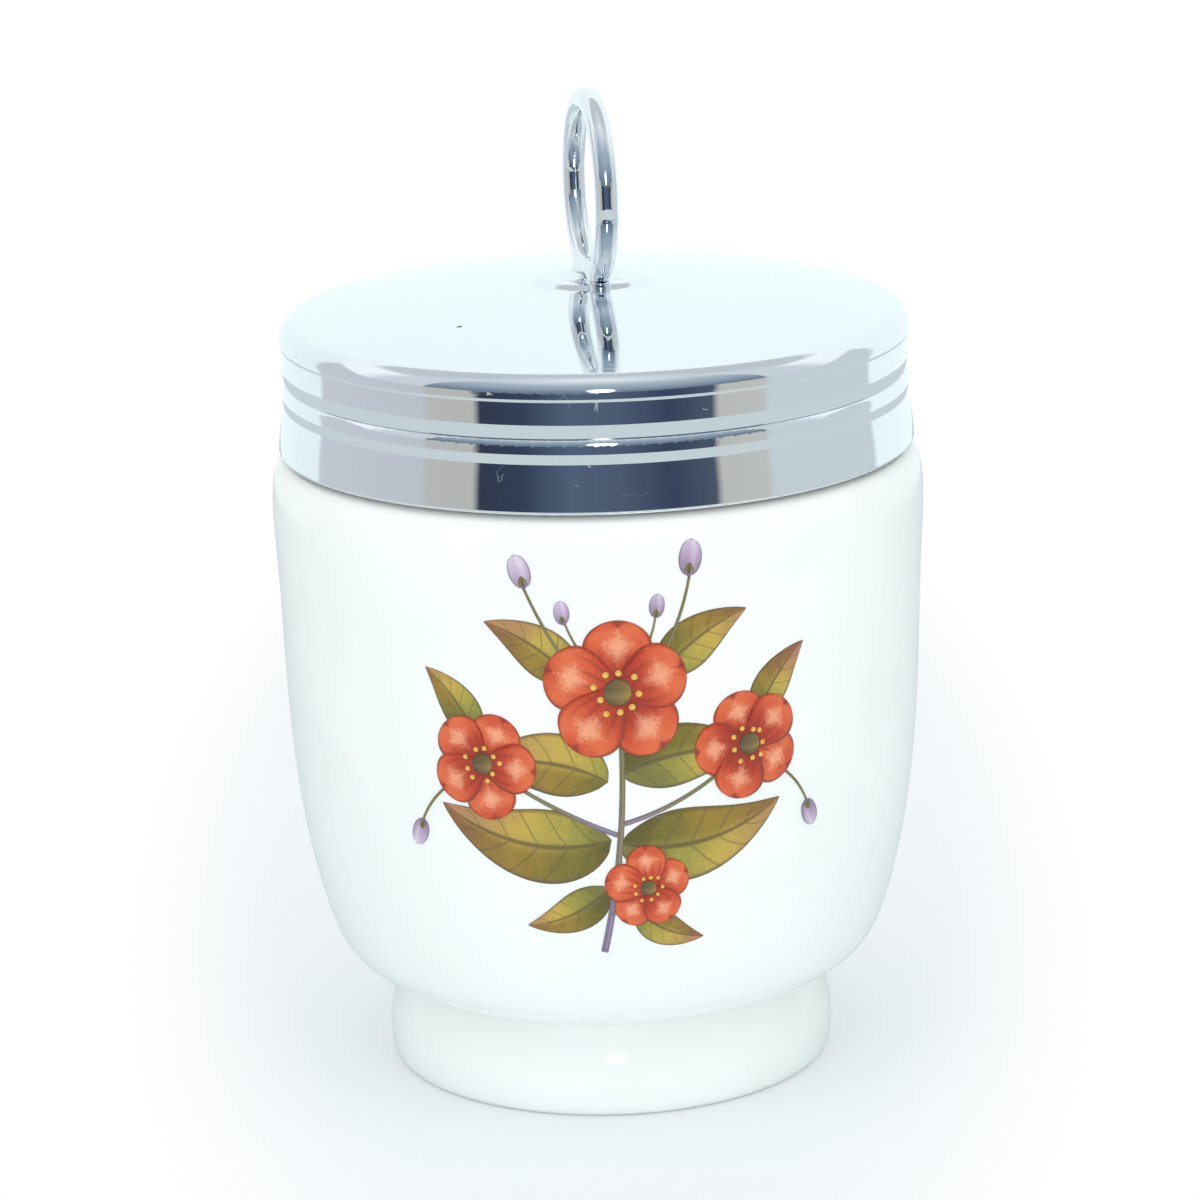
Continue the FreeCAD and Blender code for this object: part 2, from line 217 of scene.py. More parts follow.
def chromePlate(name, dull=0.0, lumps=0.0):  # lumps is the height of a hand-worked wire's dents
    settings = chrome
    material, tree, surface, output = newMaterial(name)
    place = addNode(tree, "ShaderNodeTexCoord").outputs["Object"]
    wave = noiseAt(tree, place, settings["waveSize"], 1.0)
    haze = noiseAt(tree, place, settings["hazeSize"], 5.0, {"Roughness": settings["hazeGrain"]})
    pits = addNode(tree, "ShaderNodeTexVoronoi", {"Scale": 1 / settings["pitSize"]}, {"Vector": place})
    pitted = calc(tree, "MULTIPLY",
                  calc(tree, "LESS_THAN", pits.outputs["Distance"], settings["pitShare"]),
                  between(tree, haze, *settings["pitHaze"]))
    colour = mixColour(tree, "MIX", pitted, settings["plate"], settings["worn"])
    drift = noiseAt(tree, place, settings["scratchSpread"], 1.0, {"Distortion": settings["scratchWander"]})
    offLine = calc(tree, "ABSOLUTE", calc(tree, "SUBTRACT", drift, 0.5))
    hairline = calc(tree, "LESS_THAN", offLine, settings["scratchWidth"])
    patch = noiseAt(tree, place, settings["scratchPatch"], 0.0)
    scratched = calc(tree, "MULTIPLY", hairline,
                     calc(tree, "GREATER_THAN", patch, settings["scratchLevel"]))
    colour = mixColour(tree, "MIX", scratched, colour, settings["scratch"])
    flatPlace = addNode(tree, "ShaderNodeVectorMath", {"operation": "MULTIPLY", 1: (1, 1, 0)}, {0: place})
    away = addNode(tree, "ShaderNodeVectorMath",
                   {"operation": "DISTANCE", 1: settings["speckPlace"]}, {0: flatPlace.outputs[0]})
    inside = calc(tree, "LESS_THAN", away.outputs["Value"], settings["speckSize"])
    colour = mixColour(tree, "MIX", inside, colour, settings["speck"])
    tree.links.new(colour, surface.inputs["Base Color"])
    surface.inputs["Metallic"].default_value = 1.0
    smear = calc(tree, "MULTIPLY_ADD", between(tree, haze, *settings["hazeRange"]),
                 settings["hazeRoughness"], settings["roughness"] + dull)
    marks = calc(tree, "MAXIMUM", calc(tree, "MAXIMUM", pitted, scratched), inside)
    tree.links.new(calc(tree, "MULTIPLY_ADD", marks, settings["markRoughness"], smear),
                   surface.inputs["Roughness"])
    bump = addNode(tree, "ShaderNodeBump",
                   {"Distance": settings["waveHeight"], "Strength": settings["waveStrength"]},
                   {"Height": wave})
    if lumps:
        dents = noiseAt(tree, place, settings["dentSize"], 2.0, {"Roughness": settings["dentGrain"]})
        bump = addNode(tree, "ShaderNodeBump", {"Distance": lumps, "Strength": 1.0},
                       {"Height": dents, "Normal": bump.outputs[0]})
    tree.links.new(bump.outputs[0], surface.inputs["Normal"])
    return material


def dress(node, material):
    piece = nodes[node]
    piece.data.materials.clear()
    piece.data.materials.append(material)
    for polygon in piece.data.polygons:
        polygon.material_index = 0


brightPlate = chromePlate("chromePlateBright")
innerPlate = chromePlate("chromePlateInner", dull=0.16)
wirePlate = chromePlate("chromePlateWire", lumps=0.03 * mm)
dress("cup", glazedPorcelain())
dress("lift_ring", wirePlate)
for name in ("lid_cap", "lid_skirt"):
    dress(name, brightPlate)
for name in ("thread_ring", "burr_washer"):
    dress(name, innerPlate)
print("frame dressed in porcelain and plate")


# Fired-on transfer print: a generic posy in orange-red, olive, ochre and mauve enamels.
# Each motif is drawn flat, in millimetres on paper, and then wrapped round the bowl.
posy = {
    "wrapRadius": 32.4,      # radius that turns paper width into an angle
    "filmHeight": 0.03,      # how far the enamel stands on the glaze
    "filmStep": 0.012,       # and how much more each motif that lies over another
    "filmRoot": 0.03,        # how deep its edge goes under the glaze
    "castRadius": 60 * mm,   # where the rays that find the bowl start, well outside it
    "leastHalf": 0.02,       # a brush mark is never thinner than twice this
    "lookAhead": 0.01,       # share of a stroke that its direction is taken from, each way
    "leafSteps": (30, 12),   # cells along and across
    "leafSwell": (0.78, 0.85),   # how near its base a leaf is widest, and how full it is
    "leafTaper": 0.25,
    "leafLevels": 3,         # leaves that follow each other lie on this many levels in turn
    "stemSteps": (24, 4),
    "stemTaper": 0.2,
    "stemLevels": 2,
    "petalSteps": (22, 10),
    "petalFoot": 0.04,
    "petalSwell": (1.5, 0.5),    # how near its tip a petal is widest, and how full it is
    "petalNotch": 0.09,      # depth of the notch in a petal's tip, as a share of its length
    "notchFade": (3, 2),     # how fast the notch ends, along and across
    "discSteps": (14, 8),
    "discEnd": 0.0004,       # square of the share of its width that a disc keeps at its ends
    "petalCount": 5,
    "pollenCount": 9,
    "eyeShare": 0.19,        # the eye's and a pollen dot's radius as shares of a petal's length
    "pollenShare": 0.045,
    "pollenReach": (0.24, 0.33),
    "pollenTurn": 8,         # how far a dot strays from its even place, degrees
    "petalTurn": 3,
    "petalReach": (0.95, 1.03),
    "petalWidth": 0.92,
    "budSquash": 0.62,
    "budFoot": 0.95,         # where the sepals start, as a share of the bud's radius
    "sepalLean": 30,
    "sepalSize": (0.7, 0.34),    # length and width, as shares of the bud's radius
    "seed": 7,
}
filmLevels = {"bud": 5, "petal": 5, "stem": 3, "sepal": 6, "flowerEye": 10, "pollen": 11}
layerNames = ("along", "across", "shade")  # places on a motif, and its own shade, kept on the mesh
bowlTree = BVHTree.FromObject(nodes["cup"], bpy.context.evaluated_depsgraph_get())
draw = random.Random(posy["seed"])


def wrapped(point, spray, lift):  # paper point in mm to a place on the bowl in metres
    turn = math.radians(spray["azimuth"]) + point[0] * spray["scale"] / posy["wrapRadius"]
    height = (spray["height"] + point[1] * spray["scale"]) * mm
    outward = Vector((math.sin(turn), -math.cos(turn), 0))
    start = outward * posy["castRadius"] + Vector((0, 0, height))
    place, normal, index, distance = bowlTree.ray_cast(start, -outward)
    return place + normal * lift * mm


def filmPatch(build, layers, spray, level, rows, shade):
    # rows of (paper point, along, across) become one thin closed film over the glaze
    lifts = (posy["filmHeight"] + posy["filmStep"] * level, -posy["filmRoot"])
    sheets = []
    for lift in lifts:
        sheet = []
        for row in rows:
            line = []
            for point, along, across in row:
                vertex = build.verts.new(wrapped(point, spray, lift))
                vertex[layers["along"]] = along
                vertex[layers["across"]] = across
                vertex[layers["shade"]] = shade
                line.append(vertex)
            sheet.append(line)
        sheets.append(sheet)
    top, root = sheets
    for i in range(len(rows) - 1):
        for j in range(len(rows[0]) - 1):
            build.faces.new((top[i][j], top[i][j + 1], top[i + 1][j + 1], top[i + 1][j]))
            build.faces.new((root[i][j], root[i + 1][j], root[i + 1][j + 1], root[i][j + 1]))
    loop = [(i, 0) for i in range(len(rows))]
    loop += [(len(rows) - 1, j) for j in range(1, len(rows[0]))]
    loop += [(i, len(rows[0]) - 1) for i in range(len(rows) - 2, -1, -1)]
    loop += [(0, j) for j in range(len(rows[0]) - 2, 0, -1)]
    for (a, b), (c, d) in zip(loop, loop[1:] + loop[:1]):
        build.faces.new((top[a][b], top[c][d], root[c][d], root[a][b]))


def stroke(path, halfWidth, count, lanes):
    # a brush stroke: path(t) is the middle line and halfWidth(t) the half width on paper
    rows = []
    for i in range(count + 1):
        t = i / count
        here = Vector(path(t))
        step = posy["lookAhead"]
        ahead = Vector(path(min(t + step, 1.0))) - Vector(path(max(t - step, 0.0)))
        side = Vector((-ahead.y, ahead.x)).normalized()
        rows.append([(here + side * halfWidth(t) * (2 * j / lanes - 1), t, 2 * j / lanes - 1)
                     for j in range(lanes + 1)])
    return rows


def leafRows(base, angle, length, width, bend):
    heading = math.radians(angle)
    lean, fullness = posy["leafSwell"]

    def path(t):
        swing = heading + math.radians(bend) * t
        return (base[0] + length * t * math.cos(swing), base[1] + length * t * math.sin(swing))

    def halfWidth(t):  # broad near the base, drawn out to a point
        swell = max(math.sin(math.pi * t ** lean), 0.0) ** fullness
        return width / 2 * swell * (1 - posy["leafTaper"] * t) + posy["leastHalf"]

    return stroke(path, halfWidth, *posy["leafSteps"])


def petalRows(centre, angle, reach, width):
    heading = Vector((math.cos(math.radians(angle)), math.sin(math.radians(angle))))
    side = Vector((-heading.y, heading.x))
    steps, lanes = posy["petalSteps"]
    foot = posy["petalFoot"]
    lean, fullness = posy["petalSwell"]
    fadeAlong, fadeAcross = posy["notchFade"]
    rows = []
    for i in range(steps + 1):
        t = math.sin(math.pi / 2 * i / steps)  # rows crowd towards the tip, which is round
        swell = max(math.sin(math.pi * (foot + (1 - foot) * t ** lean)), 0.0) ** fullness
        half = width / 2 * swell + posy["leastHalf"]
        row = []
        for j in range(lanes + 1):
            v = 2 * j / lanes - 1
            notch = posy["petalNotch"] * t ** fadeAlong * (1 - abs(v)) ** fadeAcross
            row.append((Vector(centre) + heading * reach * (t - notch) + side * half * v, t, v))
        rows.append(row)
    return rows


def discRows(centre, radius, squash=1.0, angle=0.0):  # a disc, or an oval squashed across its angle
    lean = math.radians(angle)
    steps, lanes = posy["discSteps"]
    rows = []
    for i in range(steps + 1):
        t = i / steps
        half = radius * squash * math.sqrt(max(1 - (2 * t - 1) ** 2, posy["discEnd"]))
        row = []
        for j in range(lanes + 1):
            v = 2 * j / lanes - 1
            local = Vector((radius * (2 * t - 1), half * v))
            spun = Vector((local.x * math.cos(lean) - local.y * math.sin(lean),
                           local.x * math.sin(lean) + local.y * math.cos(lean)))
            row.append((Vector(centre) + spun, t, v))
        rows.append(row)
    return rows


def stemRows(start, middle, end, width):
    def path(t):
        a, b, c = (1 - t) ** 2, 2 * t * (1 - t), t * t
        return (a * start[0] + b * middle[0] + c * end[0], a * start[1] + b * middle[1] + c * end[1])

    return stroke(path, lambda t: width * (0.5 - posy["stemTaper"] * t), *posy["stemSteps"])


flowers = [  # centre, reach, first petal's angle
    ((0.5, 8.0), 7.2, 90), ((-13.0, 0.5), 5.6, 65), ((13.6, 1.6), 5.8, 112), ((3.2, -12.2), 4.4, 20),
]
leaves = [  # base, angle, length, width, bend
    ((-0.4, -7.0), 196, 17.5, 8.6, -26), ((0.4, -7.4), -14, 17.0, 8.4, 24),
    ((-0.6, -1.0), 150, 13.5, 7.0, 26), ((0.6, -0.4), 28, 14.0, 7.0, -24),
    ((-3.5, 9.0), 128, 10.5, 5.4, 18), ((4.6, 9.4), 52, 10.5, 5.4, -18),
    ((-13.5, 3.0), 112, 8.5, 4.4, 16), ((14.4, 4.0), 68, 8.8, 4.4, -16),
    ((-0.8, -12.0), 228, 9.5, 4.6, -22), ((2.0, -14.5), -48, 8.0, 4.0, 22),
]
stems = [  # start, middle, end, width
    ((-1.4, -19.0), (1.6, -6.0), (0.5, 8.0), 0.75), ((0.2, -6.5), (-6.0, -4.0), (-13.0, 0.5), 0.5),
    ((0.4, -5.5), (8.0, -3.5), (13.6, 1.6), 0.5), ((-0.5, -15.0), (1.2, -13.4), (3.2, -12.2), 0.45),
    ((0.4, 5.0), (-5.2, 11.0), (-8.2, 18.6), 0.4), ((0.6, 5.0), (6.4, 12.0), (7.6, 19.4), 0.4),
    ((0.0, 8.0), (-3.4, 12.0), (-4.4, 15.2), 0.3), ((1.0, 8.0), (3.8, 12.0), (4.3, 15.6), 0.3),
    ((13.0, 0.6), (18.6, -1.2), (20.6, -5.6), 0.35), ((-12.4, 0.0), (-18.0, -1.6), (-20.2, -6.2), 0.35),
]
buds = [  # centre, radius, angle it points to
    ((-8.5, 20.0), 1.7, 108), ((7.7, 20.9), 1.8, 82), ((21.0, -6.8), 1.5, -68), ((-20.6, -7.4), 1.5, 246),
    ((-4.6, 16.0), 1.2, 96), ((4.4, 16.4), 1.2, 84),
]
sprays = [  # one on the front and a smaller one at the back; height in mm
    {"azimuth": 1.5, "height": 39.0, "scale": 1.0},
    {"azimuth": 181.0, "height": 39.0, "scale": 0.86},
]
enamelLook = {
    "stippleSize": 0.35 * mm,
    "stippleGrain": 0.8,
    "washSize": 5 * mm,
    "spread": 0.5,           # how much stipple and wash shift the tone
    "shadeShare": 0.22,      # how much motifs of one kind differ
    "rimFrom": 0.84,         # where the outline starts, across a motif
    "tipFrom": 0.955,        # and along it
    "dull": 0.03,            # how much rougher the enamel is than the glaze
}
leafLook = {
    "shade": "#b3a583",
    "shadeEdge": (-0.25, 0.35),  # where the shaded half starts and is full, across the leaf
    "shadeDepth": 0.75,
    "vein": "#5b4f33",
    "veinCount": 6.0,
    "veinSlant": -0.9,
    "veinWidth": (0.02, 0.07),
    "veinDepth": 0.6,        # side veins against the midrib
    "ribWidth": (0.03, 0.1),
    "ribDepth": 0.75,
}
petalLook = {
    "streak": "#8f2a1c",
    "streakCount": 16.0,
    "streakWaver": 2.0,
    "streakFade": (0.25, 0.8),   # where streaks start to fade and end, along the petal
    "streakDepth": 0.6,
    "light": "#f2b08a",
    "lightPlace": 0.66,
    "lightNarrow": 0.5,      # how much sooner the light ends across than along
    "lightEdge": (0.05, 0.34),
    "lightDepth": 0.7,
}
plainLook = {
    "lightPlace": 0.3,
    "lightWidth": 0.5,
    "lightDepth": 0.5,
}


def enamel(name, stops, streak, outline, outlineShare):
    # Overglaze enamel: stippled colour under the same gloss as the glaze
    look = enamelLook
    material, tree, surface, output = newMaterial(name)
    along, across, shade = [
        addNode(tree, "ShaderNodeAttribute", {"attribute_name": key}).outputs["Fac"] for key in layerNames]
    place = addNode(tree, "ShaderNodeTexCoord").outputs["Object"]
    stipple = noiseAt(tree, place, look["stippleSize"], 3.0, {"Roughness": look["stippleGrain"]})
    wash = noiseAt(tree, place, look["washSize"], 2.0)
    edge = calc(tree, "ABSOLUTE", across)
    drift = calc(tree, "MULTIPLY_ADD", wash, look["spread"], -look["spread"] / 2)
    grain = calc(tree, "MULTIPLY_ADD", stipple, look["spread"], -look["spread"] / 2)
    tone = calc(tree, "ADD", calc(tree, "ADD", along, drift), grain)
    tone = calc(tree, "MULTIPLY_ADD", shade, look["shadeShare"], tone)
    colour = fillRamp(addNode(tree, "ShaderNodeValToRGB", links={0: tone}), stops).outputs[0]
    colour = streak(tree, colour, along, across, edge, grain)
    rim = calc(tree, "MAXIMUM", between(tree, edge, look["rimFrom"], 1.0),
               between(tree, along, look["tipFrom"], 1.0))
    colour = mixColour(tree, "MIX", calc(tree, "MULTIPLY", rim, outlineShare), colour, outline)
    tree.links.new(colour, surface.inputs["Base Color"])
    surface.inputs["Roughness"].default_value = porcelain["roughness"] + look["dull"]
    surface.inputs["IOR"].default_value = porcelain["ior"]
    return material


def leafStreak(tree, colour, along, across, edge, grain):
    # one half lies in shade; a dark midrib and slanting side veins run over both
    look = leafLook
    half = between(tree, calc(tree, "ADD", across, grain), *look["shadeEdge"])
    colour = mixColour(tree, "MULTIPLY", calc(tree, "MULTIPLY", half, look["shadeDepth"]),
                       colour, look["shade"])
    slant = calc(tree, "MULTIPLY_ADD", edge, look["veinSlant"],
                 calc(tree, "MULTIPLY", along, look["veinCount"]))
    wave = calc(tree, "ABSOLUTE", calc(tree, "SUBTRACT", calc(tree, "FRACT", slant), 0.5))
    side = calc(tree, "MULTIPLY", opposite(tree, between(tree, wave, *look["veinWidth"])),
                look["veinDepth"])
    rib = opposite(tree, between(tree, edge, *look["ribWidth"]))
    veins = calc(tree, "MULTIPLY", calc(tree, "MAXIMUM", side, rib), look["ribDepth"])
    return mixColour(tree, "MIX", veins, colour, look["vein"])


def petalStreak(tree, colour, along, across, edge, grain):
    # fine streaks run out from the throat, and light catches the middle of the petal
    look = petalLook
    phase = calc(tree, "MULTIPLY_ADD", grain, look["streakWaver"],
                 calc(tree, "MULTIPLY", across, look["streakCount"]))
    lines = calc(tree, "MAXIMUM", calc(tree, "SINE", phase), 0.0)
    streaks = calc(tree, "MULTIPLY", lines, opposite(tree, between(tree, along, *look["streakFade"])))
    colour = mixColour(tree, "MIX", calc(tree, "MULTIPLY", streaks, look["streakDepth"]),
                       colour, look["streak"])
    far = calc(tree, "ABSOLUTE", calc(tree, "SUBTRACT", along, look["lightPlace"]))
    glow = calc(tree, "ADD", far, calc(tree, "MULTIPLY", edge, look["lightNarrow"]))
    lit = opposite(tree, between(tree, calc(tree, "ADD", glow, grain), *look["lightEdge"]))
    return mixColour(tree, "MIX", calc(tree, "MULTIPLY", lit, look["lightDepth"]), colour, look["light"])


def plainStreak(tree, colour, along, across, edge, grain):
    # only a soft light along one side
    look = plainLook
    off = calc(tree, "ABSOLUTE", calc(tree, "ADD", across, look["lightPlace"]))
    lit = opposite(tree, between(tree, off, 0.0, look["lightWidth"]))
    return mixColour(tree, "SOFT_LIGHT", calc(tree, "MULTIPLY", lit, look["lightDepth"]), colour, "#ffffff")


def printPiece(name, material):
    piece = newPiece(name)
    build = bmesh.new()
    layers = {key: build.verts.layers.float.new(key) for key in layerNames}

    def finish():
        bmesh.ops.recalc_face_normals(build, faces=build.faces)
        fillMesh(piece, build, material)
        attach(piece, "cup")

    return build, layers, finish


def printPosies():
    leafEnamel = enamel("leafEnamel", [
        (0.0, "#77743a"), (0.22, "#98923f"), (0.45, "#c0a549"), (0.68, "#ad8a50"), (0.95, "#b27c60"),
    ], leafStreak, "#6b5a40", 0.8)
    petalEnamel = enamel("petalEnamel", [
        (0.0, "#8e2a1a"), (0.3, "#b53c22"), (0.6, "#d25a33"), (0.85, "#d96a40"), (1.0, "#c9512f"),
    ], petalStreak, "#8f3423", 0.85)
    stemEnamel = enamel("stemEnamel", [
        (0.0, "#80728a"), (0.3, "#7a7058"), (0.7, "#6f6a3c"), (1.0, "#7b7440"),
    ], plainStreak, "#565037", 0.7)
    budEnamel = enamel("budEnamel", [
        (0.0, "#8c7a92"), (0.45, "#a996b0"), (0.8, "#c1afc8"), (1.0, "#cdbfd2"),
    ], plainStreak, "#7d6a85", 0.8)
    eyeEnamel = enamel("eyeEnamel", [
        (0.0, "#54482f"), (0.5, "#6a5a34"), (1.0, "#8a6f35"),
    ], plainStreak, "#433a2a", 0.9)
    pollenEnamel = enamel("pollenEnamel", [
        (0.0, "#d2a03a"), (0.5, "#dfb252"), (1.0, "#c98f35"),
    ], plainStreak, "#8a6a2c", 0.7)
    kinds = {key: printPiece(key + "Print", material) for key, material in (
        ("stem", stemEnamel), ("leaf", leafEnamel), ("bud", budEnamel), ("petal", petalEnamel),
        ("flowerEye", eyeEnamel), ("pollen", pollenEnamel))}

    def lay(kind, spray, level, rows):
        build, layers, finish = kinds[kind]
        filmPatch(build, layers, spray, level, rows, draw.uniform(-1, 1))

    for spray in sprays:
        for number, leaf in enumerate(leaves):
            lay("leaf", spray, number % posy["leafLevels"], leafRows(*leaf))
        for number, stem in enumerate(stems):
            level = filmLevels["stem"] + number % posy["stemLevels"]
            lay("stem", spray, level, stemRows(*stem))
        for centre, radius, angle in buds:
            lay("bud", spray, filmLevels["bud"], discRows(centre, radius, posy["budSquash"], angle))
            aim = math.radians(angle)
            back = radius * posy["budFoot"]
            foot = (centre[0] - back * math.cos(aim), centre[1] - back * math.sin(aim))
            length, width = [radius * share for share in posy["sepalSize"]]
            for lean in (-posy["sepalLean"], posy["sepalLean"]):
                lay("stem", spray, filmLevels["sepal"], leafRows(foot, angle + lean, length, width, -lean))
        petals, dots = posy["petalCount"], posy["pollenCount"]
        for centre, reach, first in flowers:
            for number in range(petals):
                turn = first + 360 / petals * number + draw.uniform(-posy["petalTurn"], posy["petalTurn"])
                rows = petalRows(centre, turn, reach * draw.uniform(*posy["petalReach"]),
                                 reach * posy["petalWidth"])
                lay("petal", spray, filmLevels["petal"] + (number * 2) % petals, rows)
            lay("flowerEye", spray, filmLevels["flowerEye"], discRows(centre, reach * posy["eyeShare"]))
            for number in range(dots):
                turn = 360 / dots * number + draw.uniform(-posy["pollenTurn"], posy["pollenTurn"])
                angle = math.radians(turn)
                out = reach * draw.uniform(*posy["pollenReach"])
                dot = (centre[0] + out * math.cos(angle), centre[1] + out * math.sin(angle))
                lay("pollen", spray, filmLevels["pollen"], discRows(dot, reach * posy["pollenShare"]))
    for build, layers, finish in kinds.values():
        finish()


printPosies()
print("posies printed on the bowl:", len(sprays))


# Low collar with a bevelled edge, stamped into the boss round the ring's foot
collar = {
    "flatRadius": 1.955 * mm,    # its top is a flat cap inside this
    "topRadius": 2.3 * mm,
    "footRadius": 4.4 * mm,
    "rise": 0.5 * mm,
    "sink": 0.15 * mm,           # how deep its edge goes into the boss
    "ease": 0.6,                 # 0 is a straight bevel, 1 one that is round at both ends
    "circleSteps": 96,
    "bevelSteps": 12,
}


def bossCollar():
    capTree = BVHTree.FromObject(nodes["lid_cap"], bpy.context.evaluated_depsgraph_get())
    piece = newPiece("bossCollar")
    build = bmesh.new()
    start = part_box("lid_cap")[1][2] + collar["rise"]

    def circle(radius, rise):  # a circle that follows the boss, at a height over it
        line = []
        for i in range(collar["circleSteps"]):
            turn = 2 * math.pi * i / collar["circleSteps"]
            point = Vector((radius * math.cos(turn), radius * math.sin(turn), start))
            place, normal, index, distance = capTree.ray_cast(point, Vector((0, 0, -1)))
            line.append(build.verts.new(place + Vector((0, 0, rise))))
        return line

    circles = [circle(collar["flatRadius"], collar["rise"])]
    for i in range(collar["bevelSteps"] + 1):
        t = i / collar["bevelSteps"]
        fall = t - collar["ease"] * math.sin(2 * math.pi * t) / (2 * math.pi)
        radius = collar["topRadius"] + (collar["footRadius"] - collar["topRadius"]) * t
        circles.append(circle(radius, collar["rise"] * (1 - fall)))
    circles.append(circle(collar["footRadius"], -collar["sink"]))
    for inner, outer in zip(circles, circles[1:]):
        for i in range(len(inner)):
            j = (i + 1) % len(inner)
            build.faces.new((inner[i], outer[i], outer[j], inner[j]))
    build.faces.new(circles[0])
    build.faces.new(list(reversed(circles[-1])))
    bmesh.ops.recalc_face_normals(build, faces=build.faces)
    fillMesh(piece, build, brightPlate)
    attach(piece, "lid")


# Silver-solder fillet where the ring's foot meets the collar, lumpy under its plating
solder = {
    "halfLength": 3.1 * mm,
    "halfWidth": 1.25 * mm,
    "rise": 1.3 * mm,
    "lump": 0.2 * mm,
    "lumpScales": ((3.1, 0.65), (7.3, 0.35)),  # lumps per radius, and the share of each
    "flare": 0.2,            # how much wider it is at its foot
    "flareFall": 3,          # how soon that ends on the way up
    "crown": 1.5,            # above 1 draws its middle up towards the ring
    "fineness": 5,
    "sink": 0.08 * mm,
    "turn": 10.4,            # degrees that the ring is turned from facing along +Y
    "dull": 0.16,
    "dents": 0.08 * mm,
}


def solderFillet():
    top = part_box("lid_cap")[1][2] + collar["rise"] / 2
    piece = newPiece("solderFillet")
    build = bmesh.new()
    bmesh.ops.create_icosphere(build, subdivisions=solder["fineness"], radius=1.0)
    spin = Matrix.Rotation(math.radians(solder["turn"]), 3, "Z")
    for vertex in build.verts:
        unit = vertex.co.copy()
        lump = sum(noise.noise(unit * scale) * share for scale, share in solder["lumpScales"])
        above = max(unit.z, 0.0)
        flare = 1.0 + solder["flare"] * (1 - above) ** solder["flareFall"]
        shape = Vector((unit.x * solder["halfWidth"] * flare, unit.y * solder["halfLength"] * flare,
                        above ** solder["crown"] * solder["rise"]))
        shape += unit * lump * solder["lump"]
        shape.z = max(shape.z, 0.0) - (solder["sink"] if unit.z < 0 else 0.0)
        vertex.co = spin @ shape + Vector((0, 0, top))
    fillMesh(piece, build, chromePlate("platedSolder", dull=solder["dull"], lumps=solder["dents"]))
    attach(piece, "lid")


bossCollar()
solderFillet()
print("collar and solder laid round the ring's foot")


# Studio: a round pale table top, a white surround, and the dark room in front that metal mirrors
studio = {
    "tableRadius": 0.32,
    "tableSides": 160,
    "tableDrop": 0.02 * mm,
    "tableRoughness": 0.6,
    "tableColour": "#ebf2f6",
    "tableLift": 0.3,            # share of plain white that the camera sees over the near table
    "tableShade": (0.0, 0.08, 0.0),    # middle of the part that keeps its shade
    "tableStretch": (2.6, 0.75, 0.0),  # the table whitens sooner at the sides than behind
    "tableFade": (0.095, 0.15),  # stretched distances where the whitening starts and ends
    "tableMirrored": "#c8d3d5",  # how pale it looks in the plate,
    "mirroredShare": 0.8,        # with this much of its shading taken away
    "surround": 0.83,            # light that falls on matt surfaces from all round
    "glint": 5.0,                # brightness of the flash that metal mirrors
    "glintAim": (2.0, 19.5),     # degrees to the right of the front, and up
    "glintSize": (5.0, 7.0),     # half width and half height, degrees
    "glintEdge": (0.6, 1.25),    # where it starts to fade and ends, in those half sizes
    "glow": 0.2,                 # haze round the flash
    "glowEdge": (0.8, 1.6),
    "darkHalf": 43.5,            # half width of the dark front, degrees
    "paleHalf": 64.0,            # outer edge of the pale strips beside it
    "wallHalf": 118.0,           # where the side walls end and the white backdrop starts
    "edge": 1.0,                 # half width of the strips' soft edges, degrees
    "wallTop": (0.13, 0.2),      # sine of the height where the front walls end
    "rearBlend": 0.12,           # how far the front and rear ceilings run into each other
    "backdropSlope": 0.84,       # tangent of the angle of the backdrop's top edge
    "strength": 1.06,
}


def buildTable():
    table = newPiece("tableTop")
    build = bmesh.new()
    bmesh.ops.create_circle(build, cap_ends=True, segments=studio["tableSides"],
                            radius=studio["tableRadius"])
    table.location.z = -studio["tableDrop"]
    material, tree, surface, output = newMaterial("paleTable")
    surface.inputs["Base Color"].default_value = linear(studio["tableColour"])
    surface.inputs["Roughness"].default_value = studio["tableRoughness"]
    place = addNode(tree, "ShaderNodeTexCoord").outputs["Object"]
    shifted = addNode(tree, "ShaderNodeVectorMath", {"operation": "SUBTRACT", 1: studio["tableShade"]},
                      {0: place})
    flat = addNode(tree, "ShaderNodeVectorMath", {"operation": "MULTIPLY", 1: studio["tableStretch"]},
                   {0: shifted.outputs[0]})
    far = addNode(tree, "ShaderNodeVectorMath", {"operation": "LENGTH"}, {0: flat.outputs[0]})
    rays = addNode(tree, "ShaderNodeLightPath")
    outer = between(tree, far.outputs["Value"], *studio["tableFade"])
    cover = calc(tree, "MULTIPLY_ADD", outer, 1 - studio["tableLift"], studio["tableLift"])
    fade = calc(tree, "MULTIPLY", rays.outputs["Is Camera Ray"], cover)
    white = addNode(tree, "ShaderNodeEmission", {"Color": (1, 1, 1, 1), "Strength": 1.0})
    blend = addNode(tree, "ShaderNodeMixShader",
                    links={0: fade, 1: surface.outputs[0], 2: white.outputs[0]})
    mirrored = addNode(tree, "ShaderNodeEmission", {"Color": linear(studio["tableMirrored"])})
    mirror = calc(tree, "MULTIPLY", rays.outputs["Is Glossy Ray"], studio["mirroredShare"])
    final = addNode(tree, "ShaderNodeMixShader",
                    links={0: mirror, 1: blend.outputs[0], 2: mirrored.outputs[0]})
    tree.links.new(final.outputs[0], output.inputs["Surface"])
    fillMesh(table, build, material)


